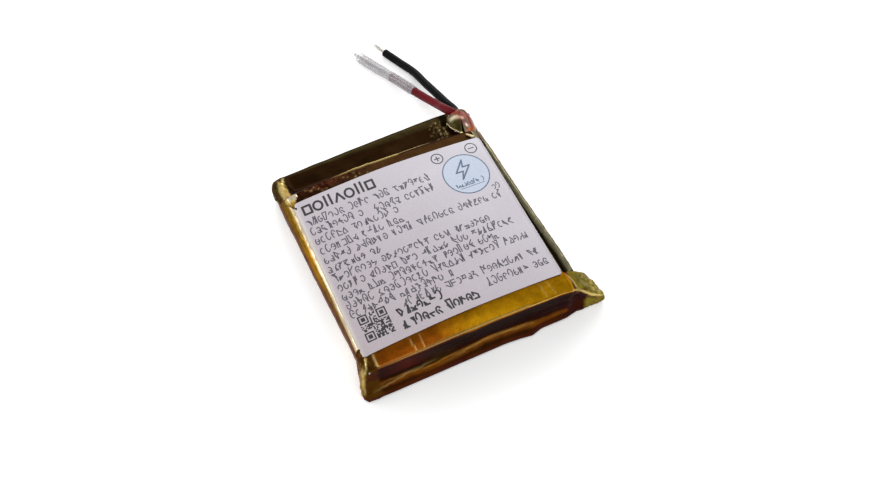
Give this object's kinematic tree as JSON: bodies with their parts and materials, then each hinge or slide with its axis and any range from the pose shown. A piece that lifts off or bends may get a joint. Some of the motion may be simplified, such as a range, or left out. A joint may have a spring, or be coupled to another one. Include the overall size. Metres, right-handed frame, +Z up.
{
  "type": "pouch battery cell",
  "caption": "Flat lithium-polymer pouch cell with folded side seals, a protection board under amber tape, a plain greyed label and two short soldered leads.",
  "frame": {"origin": "centre of the cell's underside, where it rests on a table", "axes": "+Z up through the label, +Y towards the end with the protection board and the leads, +X across the width"},
  "size_m": [0.0308, 0.0481, 0.0067],
  "materials": {
    "laminate": "satin aluminium-laminate pouch film",
    "cathode_coating": "matt black coating on aluminium foil",
    "anode_coating": "matt graphite coating on copper foil",
    "separator_film": "white microporous film",
    "green_tape": "green polyester tape",
    "aluminium_tab": "bare rolled aluminium strip",
    "nickel": "bare rolled nickel strip",
    "sealant_film": "translucent polypropylene film",
    "insulating_paper": "green insulating paper",
    "board_mask": "dark solder mask on glass-epoxy board",
    "chip_resin": "black moulding resin",
    "resistor_glaze": "black glaze on ceramic",
    "capacitor_ceramic": "brown sintered ceramic",
    "solder": "bright solder",
    "red_insulation": "dark red silicone insulation, satin",
    "black_insulation": "black silicone insulation, satin",
    "tinned_copper": "tinned copper strands",
    "clear_sleeve": "milky clear protective sleeve",
    "amber_tape": "translucent amber polyimide tape, glossy",
    "label_film": "pale lilac-white printed label, satin"
  },
  "bodies": {
    "root": {"pouch_cup": "laminate", "pouch_cover": "laminate", "cathode_strip": "cathode_coating", "anode_strip": "anode_coating", "inner_separator": "separator_film", "outer_separator": "separator_film", "winding_stop_tape": "green_tape", "positive_tab": "aluminium_tab", "negative_tab": "nickel", "positive_tab_sealant": "sealant_film", "negative_tab_sealant": "sealant_film", "positive_board_strip": "nickel", "negative_board_strip": "nickel", "insulating_pad": "insulating_paper", "protection_board": "board_mask", "protection_chip": "chip_resin", "switch_chip": "chip_resin", "filter_resistor": "resistor_glaze", "sense_resistor": "resistor_glaze", "filter_capacitor": "capacitor_ceramic", "lead_capacitor": "capacitor_ceramic", "positive_solder_joint": "solder", "negative_solder_joint": "solder", "red_lead_insulation": "red_insulation", "red_lead_core": "tinned_copper", "black_lead_insulation": "black_insulation", "black_lead_core": "tinned_copper", "lead_end_sleeve": "clear_sleeve", "front_end_tape": "amber_tape", "rear_end_tape": "amber_tape", "left_side_tape": "amber_tape", "right_side_tape": "amber_tape", "label": "label_film"}
  },
  "joints": []
}
